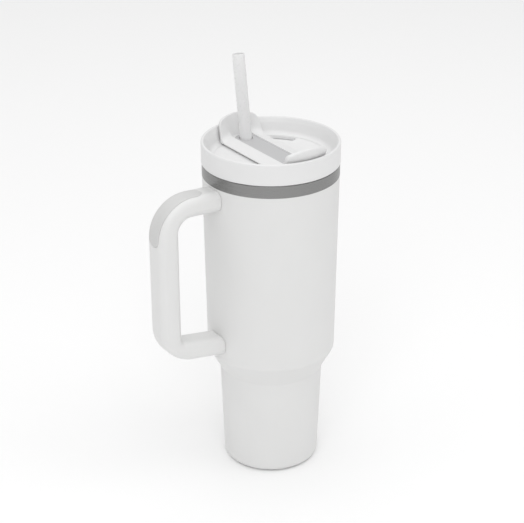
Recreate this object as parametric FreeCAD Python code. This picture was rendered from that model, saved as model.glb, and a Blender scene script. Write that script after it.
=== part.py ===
import FreeCAD, Part
import math
import os

os.makedirs("parts", exist_ok=True)

# Insulated tumbler with a screw lid, a turning lid cover, a straw and a side handle.
# Frame: origin at the centre of the resting face, +Z up, handle towards -X, straw towards +Y.
# All lengths are in millimetres and all angles in degrees.

# Steel body, outside
stem_foot_r = 35.0          # the slim lower body that fits a cup holder
stem_top_r = 37.7
stem_h = 76.6
stem_top_round = 2.5
cone_h = 16.1
shoulder_r = 46.6           # the wide upper body starts at a rounded shoulder
shoulder_round = 6.0
body_top_r = 48.5
upper_h = 134.8
foot_round = 4.5
foot_inner_r = 29.0         # the shell turns in under the base to this radius
shell_wall = 0.8
vacuum_gap = 3.0
liner_wall = 0.8
liner_foot_z = 7.0
liner_foot_round = 6.0

# Bare mouth band and the neck that takes the lid
band_h = 8.9
band_proud = 0.1            # how far the band stands out of the painted wall
band_bevel = 0.5
band_ring_h = 2.0
neck_step = 0.2             # the neck is this much narrower than the liner below it
neck_h = 22.4

# Base
pad_h = 2.2                 # non-slip pad, which stands on the table
foot_lift = 0.4             # steel foot edge above the table
pad_gap = 0.2
base_disc_h = 1.0
seal_hole_r = 1.5
seal_head_r = 3.0
seal_head_h = 1.0
getter_r = 6.0
getter_h = 1.5
getter_offset = 14.0

# Handle: a C outline seen from the side, carried across its width
finger_room = 32.0          # from the body to the inside of the grip
handle_w = 20.0
handle_edge_round = 5.5
grip_t = 16.0
upper_arm_t = 14.8
lower_arm_t = 14.2
arm_gauge_gap = 21.5        # distance from the body at which the arm heights are stated
upper_arm_drop = 7.9        # below the band
lower_arm_lift = 16.7       # above the shoulder
upper_arm_rise = 0.04       # rise per unit of reach, outwards
lower_arm_rise = 0.15
outer_bend_r = 28.0
upper_inner_bend_r = 10.0
lower_inner_bend_r = 4.0
inlay_w = 13.0              # soft grip inlay let into the outer top bend
inlay_t = 1.8
inlay_body_gap = 10.0       # bare arm between the body and the inlay
inlay_drop = 25.1           # how far the inlay reaches down the grip
inlay_end_round = 6.2
bracket_w = 9.0
bracket_h = 7.0
bracket_l = 13.5
screw_r = 1.5
screw_head_r = 2.7
screw_head_h = 2.0
screw_body_gap = 7.5

# Screw thread between the lid and the mouth
thread_lead = 12.0
thread_starts = 2
thread_arc = 180.0
thread_foot_w = 2.2
thread_tip_w = 1.2
thread_sink = 0.3           # how deep a ridge is rooted in its wall
mouth_ridge_h = 1.2
mouth_ridge_depth = 12.4    # start of the ridge below the mouth's edge
axial_play = 0.4            # between the two ridges when the lid is tight
crest_play = 0.6            # between the mouth's ridge and the plug
root_play = 0.5             # between the lid's ridge and the mouth

# Lid
part_gap = 0.3              # gap between pieces that move on each other
lid_overhang = 0.4          # the lid stands out of the band by this
rim_h = 15.7                # top lip above the mouth band
rim_w = 2.4
rim_round = 1.1
dish_depth = 12.2
dish_wall_w = 5.8           # lid's edge to the foot of the sloping dish wall
dish_round = 3.5
dish_lip_l = 3.0            # thin lip at the wall's foot, which covers the disc's edge
dish_lip_t = 0.4
disc_cover = 3.6            # how far the disc reaches under the lip
skirt_wall = 2.1
floor_t = 2.2
flange_t = 1.3
plug_wall = 3.2
plug_depth = 20.4
plug_foot_round = 0.8
gasket_drop = 3.8
gasket_h = 2.8
gasket_groove_depth = 1.6
gasket_round = 0.8

# Turning cover: sealing disc, bar with two finger tabs, pivot
disc_t = 1.5
disc_gap = 0.4
hub_r = 5.0
hub_play = 0.08
washer_r = 9.0
washer_h = 1.2
washer_gap = 0.8
pivot_screw_r = 1.4
pivot_head_r = 3.0
pivot_head_h = 2.0
pivot_bite = 2.1            # how far the pivot screw reaches into the bar
cover_travel = 75.0         # from the straw position to the drinking position
bar_half_w = 17.35
bar_lap = 3.85              # how far the bar's edges hang over its web
bar_gap = 1.1               # under the hanging edges
bar_end_gap = 3.2           # web's end to the dish lip
channel_half_w = 7.9
channel_h = 3.5             # channel floor above the disc
crest_h = 4.4               # edge of the strips beside the channel
insert_t = 0.8              # grey strip let into the channel's floor
side_slope = 0.243
tab_gap = 1.8               # tab's foot to the dish wall
tab_lean = 0.37             # how far the tabs lean out per unit of height
tab_t = 2.8
tab_bend_r = 6.0
tab_stock = 1.5             # height trimmed off the tabs to shape their top edges
back_tab_h = 18.3
back_tab_arch = 2.4
back_tab_taper = 1.65       # narrowing of the bar towards each tip, per side
back_tab_round = 3.0
front_tab_h = 20.7
front_tab_arch = 4.0
front_tab_taper = 1.15
front_tab_round = 1.5

# Straw, its hole and the openings under it
straw_r = 4.4
straw_wall = 0.8
straw_lean = 8.6
straw_play = 0.5
straw_lip_gap = 8.7         # straw's axis to the dish lip, at the channel's height
straw_above_rim = 51.5
straw_floor_gap = 1.4
groove_play = 4.1           # the groove behind the straw is wider than the straw by this
window_play = 2.1
window_seal_w = 2.0
window_seal_h = 1.0
drink_lip_gap = 5.4
drink_half_w = 3.2
drink_from = 31.0
drink_to = 52.0

# Heights and radii that follow from the sizes above
stem_top_z = stem_h
shoulder_z = stem_top_z + cone_h
body_top_z = shoulder_z + upper_h
band_top_z = body_top_z + band_h
neck_foot_z = band_top_z - neck_h
band_r = body_top_r + band_proud
liner_neck_r = body_top_r - shell_wall - vacuum_gap - neck_step
mouth_r = liner_neck_r - liner_wall
handle_reach = body_top_r + finger_room + grip_t
arm_gauge_r = body_top_r + arm_gauge_gap
upper_arm_z = body_top_z - upper_arm_drop
lower_arm_z = shoulder_z + lower_arm_lift
inlay_root_r = body_top_r + inlay_body_gap
inlay_end_z = upper_arm_z - inlay_drop
bracket_tip_r = body_top_r + bracket_l
screw_offset_r = body_top_r + screw_body_gap
mouth_ridge_z = band_top_z - mouth_ridge_depth
lid_ridge_z = mouth_ridge_z - thread_foot_w - axial_play
plug_r = mouth_r - mouth_ridge_h - crest_play
lid_ridge_h = mouth_r - plug_r - root_play
lid_r = band_r + lid_overhang
rim_z = band_top_z + rim_h
rim_inner_r = lid_r - rim_w
dish_foot_r = lid_r - dish_wall_w
dish_r = dish_foot_r - dish_lip_l
disc_r = dish_r + disc_cover
dish_floor_z = rim_z - dish_depth
disc_z = dish_floor_z - disc_t
seat_z = disc_z - disc_gap
floor_z = seat_z - floor_t
plug_foot_z = band_top_z - plug_depth
gasket_z = band_top_z - gasket_drop
hub_foot_z = floor_z - washer_gap
bar_edge_z = dish_floor_z + bar_gap
channel_z = dish_floor_z + channel_h
crest_z = dish_floor_z + crest_h
tab_foot_r = dish_foot_r - tab_gap
straw_base_r = dish_r - straw_lip_gap
straw_foot_z = liner_foot_z + liner_wall + straw_floor_gap
straw_tip_z = rim_z + straw_above_rim
straw_hole_r = straw_r + straw_play
drink_mid_r = dish_r - drink_lip_gap

UP = FreeCAD.Vector(0, 0, 1)
ORIGIN = FreeCAD.Vector(0, 0, 0)


def rounded_wire(corners, place):
    """Closed wire through (a, b) or (a, b, radius) corners, each rounded by its own radius."""
    points = [place(corner[0], corner[1]) for corner in corners]
    rounds = [corner[2] if len(corner) > 2 else 0.0 for corner in corners]
    count = len(points)
    arcs = []
    for index, radius in enumerate(rounds):
        here = points[index]
        back = points[index - 1] - here
        ahead = points[(index + 1) % count] - here
        if radius <= 0.0:
            arcs.append((here, None, here))
            continue
        half_angle = back.getAngle(ahead) / 2.0
        back_share = 0.49 if rounds[index - 1] > 0.0 else 0.98
        ahead_share = 0.49 if rounds[(index + 1) % count] > 0.0 else 0.98
        room = min(back.Length * back_share, ahead.Length * ahead_share)
        radius = min(radius, room * math.tan(half_angle))
        reach = radius / math.tan(half_angle)
        back.normalize()
        ahead.normalize()
        middle = back + ahead
        middle.normalize()
        depth = radius / math.sin(half_angle) - radius
        arcs.append((here + back * reach, here + middle * depth, here + ahead * reach))
    edges = []
    for index, (start, middle, end) in enumerate(arcs):
        if middle is not None:
            edges.append(Part.Arc(start, middle, end).toShape())
        following = arcs[(index + 1) % count][0]
        if end.distanceToPoint(following) > 1e-6:
            edges.append(Part.LineSegment(end, following).toShape())
    return Part.Wire(edges)


def side_plane(reach, height):
    """A point of the XZ plane, with reach counted outwards along +X."""
    return FreeCAD.Vector(reach, 0, height)


def handle_plane(reach, height):
    """A point of the XZ plane, with reach counted towards the handle."""
    return FreeCAD.Vector(-reach, 0, height)


def turned(corners):
    """Solid of revolution about Z from a closed (radius, height) outline."""
    face = Part.Face(rounded_wire(corners, side_plane))
    return face.revolve(ORIGIN, UP, 360)


def slab(corners, place, y_from, y_to):
    """Plate with the given side outline, between two heights of Y."""
    face = Part.Face(rounded_wire(corners, place))
    face.translate(FreeCAD.Vector(0, y_from, 0))
    return face.extrude(FreeCAD.Vector(0, y_to - y_from, 0))


def box(x_from, x_to, y_from, y_to, z_from, z_to):
    corner = FreeCAD.Vector(x_from, y_from, z_from)
    return Part.makeBox(x_to - x_from, y_to - y_from, z_to - z_from, corner)


def post(radius, z_from, z_to, x=0.0, y=0.0):
    return Part.makeCylinder(radius, z_to - z_from, FreeCAD.Vector(x, y, z_from))


def inset(path, depth):
    """The open (radius, height, round) path moved to its left by depth, square to every run."""
    runs = []
    for start, end in zip(path, path[1:]):
        length = math.hypot(end[0] - start[0], end[1] - start[1])
        along = ((end[0] - start[0]) / length, (end[1] - start[1]) / length)
        shift = (-along[1] * depth, along[0] * depth)
        runs.append((start[0] + shift[0], start[1] + shift[1], along,
                     end[0] + shift[0], end[1] + shift[1]))
    moved = [(runs[0][0], runs[0][1], 0.0)]
    for index, (before, after) in enumerate(zip(runs, runs[1:])):
        turn = before[2][0] * after[2][1] - before[2][1] * after[2][0]
        offset = (after[0] - before[0], after[1] - before[1])
        travel = (offset[0] * after[2][1] - offset[1] * after[2][0]) / turn
        radius = path[index + 1][2] - math.copysign(depth, turn)
        moved.append((before[0] + before[2][0] * travel, before[1] + before[2][1] * travel,
                      max(radius, 0.3)))
    moved.append((runs[-1][3], runs[-1][4], 0.0))
    return moved


def walled(path, wall):
    """Closed outline of a wall of even thickness on the left of an open path."""
    return path + inset(path, wall)[::-1]


def radius_at(low, high, height):
    """Radius at a height on the straight run between two (radius, height) points."""
    share = (height - low[1]) / (high[1] - low[1])
    return low[0] + share * (high[0] - low[0])


def arc_slot(mid_r, half_w, angle_from, angle_to, z_from, z_to):
    """Curved slot about Z with round ends, as a solid to add or to cut."""
    height = z_to - z_from
    sweep = angle_to - angle_from
    outer = Part.makeCylinder(mid_r + half_w, height, FreeCAD.Vector(0, 0, z_from), UP, sweep)
    inner = Part.makeCylinder(mid_r - half_w, height, FreeCAD.Vector(0, 0, z_from), UP, 360)
    band = outer.cut(inner)
    band.rotate(ORIGIN, UP, angle_from)
    ends = []
    for angle in (angle_from, angle_to):
        x = mid_r * math.cos(math.radians(angle))
        y = mid_r * math.sin(math.radians(angle))
        ends.append(post(half_w, z_from, z_to, x, y))
    return band.fuse(ends).removeSplitter()


def thread_ridge(wall_r, height, start_z, start_angle):
    """Helical ridge of a right-hand thread: out of the wall if height is positive, else inwards."""
    side = math.copysign(1.0, height)
    foot_r = wall_r - side * thread_sink
    tip_r = wall_r + height
    section = [(foot_r, -thread_foot_w / 2), (tip_r, -thread_tip_w / 2),
               (tip_r, thread_tip_w / 2), (foot_r, thread_foot_w / 2)]
    helix = Part.makeHelix(thread_lead, thread_lead * thread_arc / 360.0, wall_r)
    ridge = Part.Wire(helix.Edges).makePipeShell([rounded_wire(section, side_plane)], True, True)
    ridge.rotate(ORIGIN, UP, start_angle)
    ridge.translate(FreeCAD.Vector(0, 0, start_z))
    return ridge


def threaded(wall, wall_r, height, start_z):
    """The wall with all starts of the thread on it."""
    ridges = [thread_ridge(wall_r, height, start_z, start * 360.0 / thread_starts)
              for start in range(thread_starts)]
    return wall.fuse(ridges)


parts = {}

# Outer shell: painted steel, drawn in at the shoulder and turned in under the foot.
shell_path = [(foot_inner_r, foot_lift, 0.0),
              (stem_foot_r, foot_lift, foot_round),
              (stem_top_r, stem_top_z, stem_top_round),
              (shoulder_r, shoulder_z, shoulder_round),
              (body_top_r, body_top_z, 0.0)]
shell = turned(walled(shell_path, shell_wall))
parts["outer_shell"] = shell.cut(post(lid_r, body_top_z, body_top_z + shell_wall))
shell_filled = turned([(0.0, foot_lift)] + shell_path + [(0.0, body_top_z)])

# Inner liner: steel cup inside the vacuum, with the pressed mouth thread.
gap_path = inset(shell_path, shell_wall + vacuum_gap)
liner_path = [(0.0, liner_foot_z, 0.0),
              (radius_at(gap_path[1], gap_path[2], liner_foot_z), liner_foot_z, liner_foot_round),
              gap_path[2],
              gap_path[3],
              (liner_neck_r, neck_foot_z, 0.0),
              (liner_neck_r, band_top_z, 0.0)]
liner = turned(walled(liner_path, liner_wall))
parts["inner_liner"] = threaded(liner, mouth_r, -mouth_ridge_h, mouth_ridge_z)

# Mouth band: the bare steel ring that joins shell and liner at the mouth.
band_inner_r = band_r - shell_wall
parts["mouth_band"] = turned([(band_inner_r, body_top_z),
                              (band_r, body_top_z),
                              (band_r, band_top_z - band_bevel),
                              (band_r - band_bevel, band_top_z),
                              (liner_neck_r, band_top_z),
                              (liner_neck_r, band_top_z - band_ring_h),
                              (band_inner_r, band_top_z - band_ring_h)])

# Base: welded disc with the sealed evacuation hole, the getter and the non-slip pad.
base_foot_z = pad_h
base_top_z = base_foot_z + base_disc_h
collar_z = foot_lift + shell_wall
collar_r = foot_inner_r + base_disc_h
parts["base_disc"] = turned([(seal_hole_r, base_foot_z), (foot_inner_r, base_foot_z),
                             (foot_inner_r, collar_z), (collar_r, collar_z),
                             (collar_r, base_top_z), (seal_hole_r, base_top_z)])
parts["vacuum_plug"] = turned([(0, base_foot_z), (seal_hole_r, base_foot_z),
                               (seal_hole_r, base_top_z), (seal_head_r, base_top_z),
                               (0.6 * seal_head_r, base_top_z + seal_head_h),
                               (0, base_top_z + seal_head_h)])
parts["getter"] = post(getter_r, base_top_z, base_top_z + getter_h, 0.0, -getter_offset)
parts["base_pad"] = turned([(0, 0), (foot_inner_r - pad_gap, 0, 0.5), (foot_inner_r - pad_gap, pad_h),
                            (0, pad_h)])

# Handle: side outline with large outer bends and small inner ones, rounded along its edges.
def upper_z(reach):
    return upper_arm_z + upper_arm_rise * (reach - arm_gauge_r)


def lower_z(reach):
    return lower_arm_z + lower_arm_rise * (reach - arm_gauge_r)


root_r = shoulder_r / 2.0
grip_inner_r = handle_reach - grip_t
upper_half = upper_arm_t / 2.0
lower_half = lower_arm_t / 2.0
outline = [(root_r, upper_z(root_r) + upper_half),
           (handle_reach, upper_z(handle_reach) + upper_half, outer_bend_r),
           (handle_reach, lower_z(handle_reach) - lower_half, outer_bend_r),
           (root_r, lower_z(root_r) - lower_half),
           (root_r, lower_z(root_r) + lower_half),
           (grip_inner_r, lower_z(grip_inner_r) + lower_half, lower_inner_bend_r),
           (grip_inner_r, upper_z(grip_inner_r) - upper_half, upper_inner_bend_r),
           (root_r, upper_z(root_r) - upper_half)]
half_w = handle_w / 2.0
handle_blank = slab(outline, handle_plane, -half_w, half_w)
long_edges = []
for edge in handle_blank.Edges:
    bounds = edge.BoundBox
    on_side = bounds.YLength < 1e-6 and abs(abs(bounds.YMin) - half_w) < 1e-6
    at_root = bounds.XLength < 1e-6 and abs(bounds.XMin + root_r) < 1e-6
    if on_side and not at_root:
        long_edges.append(edge)
handle_solid = handle_blank.makeFillet(handle_edge_round, long_edges)
handle_solid = handle_solid.cut(shell_filled)

# Soft inlay: the outer skin of the handle over the top bend, between two round ends.
def skin_outline(depth):
    """Outer edge of the handle from the upper arm round to the grip, moved in by depth."""
    top = upper_half - depth
    return [(inlay_root_r, upper_z(inlay_root_r) + top, 0.0),
            (handle_reach - depth, upper_z(handle_reach - depth) + top, outer_bend_r - depth),
            (handle_reach - depth, inlay_end_z, 0.0)]


inlay_over = 1.0
inlay_outline = skin_outline(-inlay_over) + skin_outline(inlay_t)[::-1]
inlay_blank = slab(inlay_outline, handle_plane, -inlay_w / 2.0, inlay_w / 2.0)
end_edges = []
for edge in inlay_blank.Edges:
    bounds = edge.BoundBox
    at_side = bounds.YLength < 1e-6
    at_arm_end = bounds.XLength < 1e-6 and abs(bounds.XMin + inlay_root_r) < 1e-6
    at_grip_end = bounds.ZLength < 1e-6 and abs(bounds.ZMin - inlay_end_z) < 1e-6
    if at_side and (at_arm_end or at_grip_end):
        end_edges.append(edge)
inlay_blank = inlay_blank.makeFillet(inlay_end_round, end_edges)
parts["comfort_grip"] = inlay_blank.common(handle_solid)
handle_solid = handle_solid.cut(inlay_blank)

# Each arm sits over a welded bracket and is held by a screw from below, under a small cap.
for name, arm_z, arm_half in (("upper", upper_z, upper_half), ("lower", lower_z, lower_half)):
    middle_z = arm_z(screw_offset_r)
    bracket = box(-bracket_tip_r, -root_r, -bracket_w / 2.0, bracket_w / 2.0,
                  middle_z - bracket_h / 2.0, middle_z + bracket_h / 2.0)
    bracket = bracket.cut(shell_filled)
    head_z = middle_z - bracket_h / 2.0 - screw_head_h
    shank = post(screw_r, head_z + screw_head_h, middle_z + bracket_h / 2.0, -screw_offset_r)
    head = post(screw_head_r, head_z, head_z + screw_head_h, -screw_offset_r)
    recess = post(screw_head_r, head_z - 2.0 * arm_half, head_z, -screw_offset_r)
    parts[name + "_cap"] = recess.common(handle_solid)
    parts[name + "_screw"] = shank.fuse(head).removeSplitter()
    parts[name + "_bracket"] = bracket.cut(shank)
    handle_solid = handle_solid.cut([bracket, shank, head, recess])
parts["handle_shell"] = handle_solid

# Lid rim: outer skirt, rounded top edge and sloping dish wall with a thin lip over the disc.
skirt_z = band_top_z + part_gap
skirt_inner_r = lid_r - skirt_wall
lip_under_z = dish_floor_z + part_gap
lip_top_z = lip_under_z + dish_lip_t
pocket_r = disc_r + disc_gap
parts["lid_rim"] = turned([(lid_r, skirt_z, 0.4),
                           (lid_r, rim_z, rim_round),
                           (rim_inner_r, rim_z, rim_round),
                           (dish_foot_r, lip_top_z, dish_round),
                           (dish_r, lip_top_z),
                           (dish_r, lip_under_z),
                           (pocket_r, lip_under_z),
                           (pocket_r, seat_z),
                           (skirt_inner_r, seat_z),
                           (skirt_inner_r, skirt_z)])

# Lid plug: fixed floor with the straw window, flange, gasket groove and the lid's thread.
plug_inner_r = plug_r - plug_wall
groove_r = plug_r - gasket_groove_depth
groove_foot_z = gasket_z - part_gap
groove_top_z = gasket_z + gasket_h + part_gap
flange_z = seat_z - flange_t
plug = turned([(hub_r + hub_play, floor_z),
               (plug_inner_r, floor_z),
               (plug_inner_r, plug_foot_z, plug_foot_round),
               (plug_r, plug_foot_z, plug_foot_round),
               (plug_r, groove_foot_z),
               (groove_r, groove_foot_z),
               (groove_r, groove_top_z),
               (plug_r, groove_top_z),
               (plug_r, flange_z),
               (skirt_inner_r, flange_z),
               (skirt_inner_r, seat_z),
               (hub_r + hub_play, seat_z)])
plug = threaded(plug, plug_r, lid_ridge_h, lid_ridge_z)
lean = math.radians(straw_lean)
window_mid_r = straw_base_r - (channel_z - seat_z) * math.tan(lean)
window_half_w = straw_r + window_play
straw_angle = 90.0
window_end = straw_angle + cover_travel
window = arc_slot(window_mid_r, window_half_w, straw_angle, window_end,
                  floor_z - 1.0, seat_z + 1.0)
seal_foot_z = seat_z - window_seal_h
seal_top_z = seat_z + disc_gap - part_gap
seal_r = window_half_w + window_seal_w
seal_seat = arc_slot(window_mid_r, seal_r, straw_angle, window_end, seal_foot_z, seat_z + 1.0)
parts["lid_plug"] = plug.cut([window, seal_seat])
parts["cover_seal"] = arc_slot(window_mid_r, seal_r, straw_angle, window_end,
                               seal_foot_z, seal_top_z).cut(window)

# Gasket: silicone ring in the plug's groove, sealing against the mouth.
gasket_inner_r = groove_r + part_gap
gasket_outer_r = mouth_r - part_gap
parts["lid_gasket"] = turned([(gasket_inner_r, gasket_z),
                              (gasket_outer_r, gasket_z, gasket_round),
                              (gasket_outer_r, gasket_z + gasket_h, gasket_round),
                              (gasket_inner_r, gasket_z + gasket_h)])

# Straw: a plain tube that leans outwards through the cover.
straw_axis = FreeCAD.Vector(0, math.sin(lean), math.cos(lean))
foot_y = straw_base_r - (channel_z - straw_foot_z) * math.tan(lean)
straw_foot = FreeCAD.Vector(0, foot_y, straw_foot_z)
straw_length = (straw_tip_z - straw_foot_z) / math.cos(lean)
straw_outer = Part.makeCylinder(straw_r, straw_length, straw_foot, straw_axis)
straw_bore = Part.makeCylinder(straw_r - straw_wall, straw_length, straw_foot, straw_axis)
parts["straw"] = straw_outer.cut(straw_bore)
straw_hole = Part.makeCylinder(straw_hole_r, straw_length, straw_foot, straw_axis)

# Sealing disc: turns on its hub in the fixed floor and carries the straw hole and drink slot.
cover_disc = turned([(0, hub_foot_z),
                     (hub_r, hub_foot_z),
                     (hub_r, disc_z),
                     (disc_r, disc_z),
                     (disc_r, dish_floor_z),
                     (0, dish_floor_z)])
drink_slot = arc_slot(drink_mid_r, drink_half_w, drink_from, drink_to,
                      disc_z - 1.0, dish_floor_z + 1.0)
pivot_shank = post(pivot_screw_r, hub_foot_z - washer_h, dish_floor_z + pivot_bite)
parts["sealing_disc"] = cover_disc.cut([drink_slot, straw_hole, pivot_shank])

# Pivot: a washer under the fixed floor, held to the hub by a screw from below.
washer_z = hub_foot_z - washer_h
washer = post(washer_r, washer_z, hub_foot_z)
parts["pivot_washer"] = washer.cut(pivot_shank)
pivot_head = post(pivot_head_r, washer_z - pivot_head_h, washer_z)
parts["pivot_screw"] = pivot_shank.fuse(pivot_head).removeSplitter()

# Turning bar: a flat channel between two sloping strips, bent up into a tab at both ends.
tab_stock_z = dish_floor_z + max(back_tab_h, front_tab_h) + tab_stock


def bar_section(x, top_z):
    """Outline of the bar and both tabs in the plane at x, as a closed wire."""
    def outer_y(height):
        radius = tab_foot_r + tab_lean * (height - dish_floor_z)
        return math.sqrt(radius * radius - x * x)

    foot_y = outer_y(bar_edge_z)
    tip_y = outer_y(tab_stock_z)
    bend_y = outer_y(top_z) - tab_t
    corners = [(-foot_y, bar_edge_z), (foot_y, bar_edge_z),
               (tip_y, tab_stock_z), (tip_y - tab_t, tab_stock_z),
               (bend_y, top_z, tab_bend_r), (-bend_y, top_z, tab_bend_r),
               (tab_t - tip_y, tab_stock_z), (-tip_y, tab_stock_z)]
    return rounded_wire(corners, lambda y, z: FreeCAD.Vector(x, y, z))


def strip_top(x):
    return crest_z - side_slope * (abs(x) - channel_half_w)


middle_x = (channel_half_w + bar_half_w) / 2.0
sections = [bar_section(x, strip_top(x)) for x in (channel_half_w, middle_x, bar_half_w)]
side = Part.makeLoft(sections, True, False)
other_side = side.mirror(ORIGIN, FreeCAD.Vector(1, 0, 0))
channel = Part.Face(bar_section(-channel_half_w, channel_z))
channel = channel.extrude(FreeCAD.Vector(2.0 * channel_half_w, 0, 0))
web_half_w = bar_half_w - bar_lap
web_half_l = dish_r - bar_end_gap
web = box(-web_half_w, web_half_w, -web_half_l, web_half_l, dish_floor_z, bar_edge_z)
bar = side.fuse([other_side, channel, web])


def tab_mask(mid_z, rise, taper, corner_round, y_from, y_to):
    """Everything under a tab's arched top edge, on one side of the bar."""
    tip_half_w = bar_half_w - taper
    arch_r = (bar_half_w ** 2 + rise ** 2) / (2.0 * rise)
    arch_foot = FreeCAD.Vector(0, y_from, mid_z - arch_r)
    arch = Part.makeCylinder(arch_r, y_to - y_from, arch_foot, FreeCAD.Vector(0, 1, 0))
    block = slab([(-bar_half_w, disc_z), (bar_half_w, disc_z),
                  (bar_half_w, crest_z),
                  (tip_half_w, mid_z - rise, corner_round),
                  (0.0, mid_z + rise),
                  (-tip_half_w, mid_z - rise, corner_round),
                  (-bar_half_w, crest_z)],
                 side_plane, y_from, y_to)
    return block.common(arch)


reach_y = lid_r + tab_t
back_mask = tab_mask(dish_floor_z + back_tab_h, back_tab_arch, back_tab_taper, back_tab_round,
                     0.0, reach_y)
front_mask = tab_mask(dish_floor_z + front_tab_h, front_tab_arch, front_tab_taper,
                      front_tab_round, -reach_y, 0.0)
bar = bar.common(back_mask.fuse(front_mask))
groove_foot = straw_foot + straw_axis * ((channel_z - straw_foot_z) / math.cos(lean))
straw_groove = Part.makeCylinder(straw_r + groove_play, straw_length, groove_foot, straw_axis)
straw_groove = straw_groove.common(box(-lid_r, lid_r, 0, reach_y, channel_z, straw_tip_z))
bar = bar.cut([straw_groove, straw_hole, pivot_shank])

# Channel insert: a thin strip let into the channel, with a half round end about the straw.
insert_foot_z = channel_z - insert_t
insert_front_y = tab_bend_r + tab_t - tab_foot_r
insert = box(-channel_half_w, channel_half_w, insert_front_y, straw_base_r,
             insert_foot_z, channel_z)
insert = insert.fuse(post(channel_half_w, insert_foot_z, channel_z, 0.0, straw_base_r))
insert = insert.removeSplitter()
parts["channel_insert"] = insert.cut(straw_hole)
parts["turn_bar"] = bar.cut(insert).removeSplitter()

for name in sorted(parts):
    shape = parts[name]
    print(name, len(shape.Solids), shape.isValid(), round(shape.Volume / 1000.0, 2))
    shape.exportStep("parts/" + name + ".step")
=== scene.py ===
"""Insulated steel tumbler with a screw lid, a turning cover, a straw and a side handle."""

import math

import bmesh
import bpy
import numpy as np
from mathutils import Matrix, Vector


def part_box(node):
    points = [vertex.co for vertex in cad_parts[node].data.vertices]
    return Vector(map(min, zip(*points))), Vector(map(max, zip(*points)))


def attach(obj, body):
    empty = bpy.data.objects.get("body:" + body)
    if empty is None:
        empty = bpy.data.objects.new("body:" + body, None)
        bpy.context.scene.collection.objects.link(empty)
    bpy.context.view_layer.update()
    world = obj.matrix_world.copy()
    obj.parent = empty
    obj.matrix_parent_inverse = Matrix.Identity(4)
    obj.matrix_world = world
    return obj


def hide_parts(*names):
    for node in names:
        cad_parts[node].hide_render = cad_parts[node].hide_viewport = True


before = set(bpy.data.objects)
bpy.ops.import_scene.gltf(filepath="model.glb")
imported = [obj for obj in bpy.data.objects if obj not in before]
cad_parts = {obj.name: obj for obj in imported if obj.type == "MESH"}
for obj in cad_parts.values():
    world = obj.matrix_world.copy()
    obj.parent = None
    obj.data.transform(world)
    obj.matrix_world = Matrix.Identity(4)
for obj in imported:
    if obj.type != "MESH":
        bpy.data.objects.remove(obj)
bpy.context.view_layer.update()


# Outer shell -----------------------------------------------------------------------------------
# One drawn stainless tube, 0.8 mm thick, necked in for the stem and turned in under the foot.
# It is blasted and powder coated white, which leaves a fine, even, satin grain.
MM = 0.001


def corners(node):
    """Lowest and highest corner of a node at rest, in millimetres."""
    low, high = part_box(node)
    return np.array(low) / MM, np.array(high) / MM


def rounded_path(points, closed=False, arc_cells=10, settle=0.4):
    """Straight runs between (a, b, radius) points. Each point turns on an arc of its own radius,
    which starts radius / tan(half the turn's inner angle) before it. A run gets one more point
    close to each of its ends, so that shading stays flat along it."""
    spots = np.array([(*point, 0.0)[:3] for point in points], float)
    here = spots[:, :2]
    count = len(spots)
    arcs = []
    for index in range(count):
        radius = spots[index, 2]
        at_end = not closed and index in (0, count - 1)
        if radius == 0.0 or at_end:
            arcs.append(here[index][None])
            continue
        back = here[index - 1] - here[index]
        ahead = here[(index + 1) % count] - here[index]
        back /= np.linalg.norm(back)
        ahead /= np.linalg.norm(ahead)
        half_angle = math.acos(back @ ahead) / 2.0
        reach = radius / math.tan(half_angle)
        middle = (back + ahead) / np.linalg.norm(back + ahead)
        centre = here[index] + middle * radius / math.sin(half_angle)
        first = here[index] + back * reach - centre
        last = here[index] + ahead * reach - centre
        turn = math.pi - 2.0 * half_angle
        share = np.linspace(0.0, 1.0, arc_cells + 1)[:, None]
        swing = np.sin((1.0 - share) * turn) * first + np.sin(share * turn) * last
        arcs.append(centre + swing / math.sin(turn))
    path = []
    for index, arc in enumerate(arcs):
        path.append(arc)
        if index == count - 1 and not closed:
            break
        start = arc[-1]
        end = arcs[(index + 1) % count][0]
        length = np.linalg.norm(end - start)
        near = min(settle, 0.25 * length) / max(length, 1e-9)
        path.append(start + np.array([[near], [1.0 - near]]) * (end - start))
    return np.concatenate(path)


def walled(path, wall):
    """Closed outline of a wall of even thickness: the path, and back along the same path moved to
    its left by the wall, square to it."""
    along = np.gradient(path, axis=0)
    along /= np.maximum(np.linalg.norm(along, axis=1, keepdims=True), 1e-9)
    left = np.stack([-along[:, 1], along[:, 0]], axis=1)
    return np.concatenate([path, (path + wall * left)[::-1]])


def skin(name, *grids, sharp=40.0):
    """One mesh from grids of points (rows, columns, 3) in millimetres. Every cell of a grid is a
    four-sided face. Points that lie together are merged, which closes seams and poles, and a
    ring that is left open gets a flat face."""
    points = np.concatenate([grid.reshape(-1, 3) for grid in grids]) * MM
    faces = []
    start = 0
    for grid in grids:
        rows, columns = grid.shape[:2]
        index = start + np.arange(rows * columns).reshape(rows, columns)
        cells = [index[:-1, :-1], index[1:, :-1], index[1:, 1:], index[:-1, 1:]]
        faces.append(np.stack(cells, axis=-1).reshape(-1, 4))
        start += rows * columns
    mesh = bpy.data.meshes.new(name)
    mesh.from_pydata(points, [], np.concatenate(faces))
    work = bmesh.new()
    work.from_mesh(mesh)
    bmesh.ops.remove_doubles(work, verts=work.verts, dist=2e-6)
    open_edges = [edge for edge in work.edges if edge.is_boundary]
    bmesh.ops.holes_fill(work, edges=open_edges, sides=0)
    bmesh.ops.recalc_face_normals(work, faces=work.faces)
    work.to_mesh(mesh)
    work.free()
    mesh.shade_smooth()
    mesh.set_sharp_from_angle(angle=math.radians(sharp))
    piece = bpy.data.objects.new(name, mesh)
    bpy.context.scene.collection.objects.link(piece)
    return piece


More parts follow.
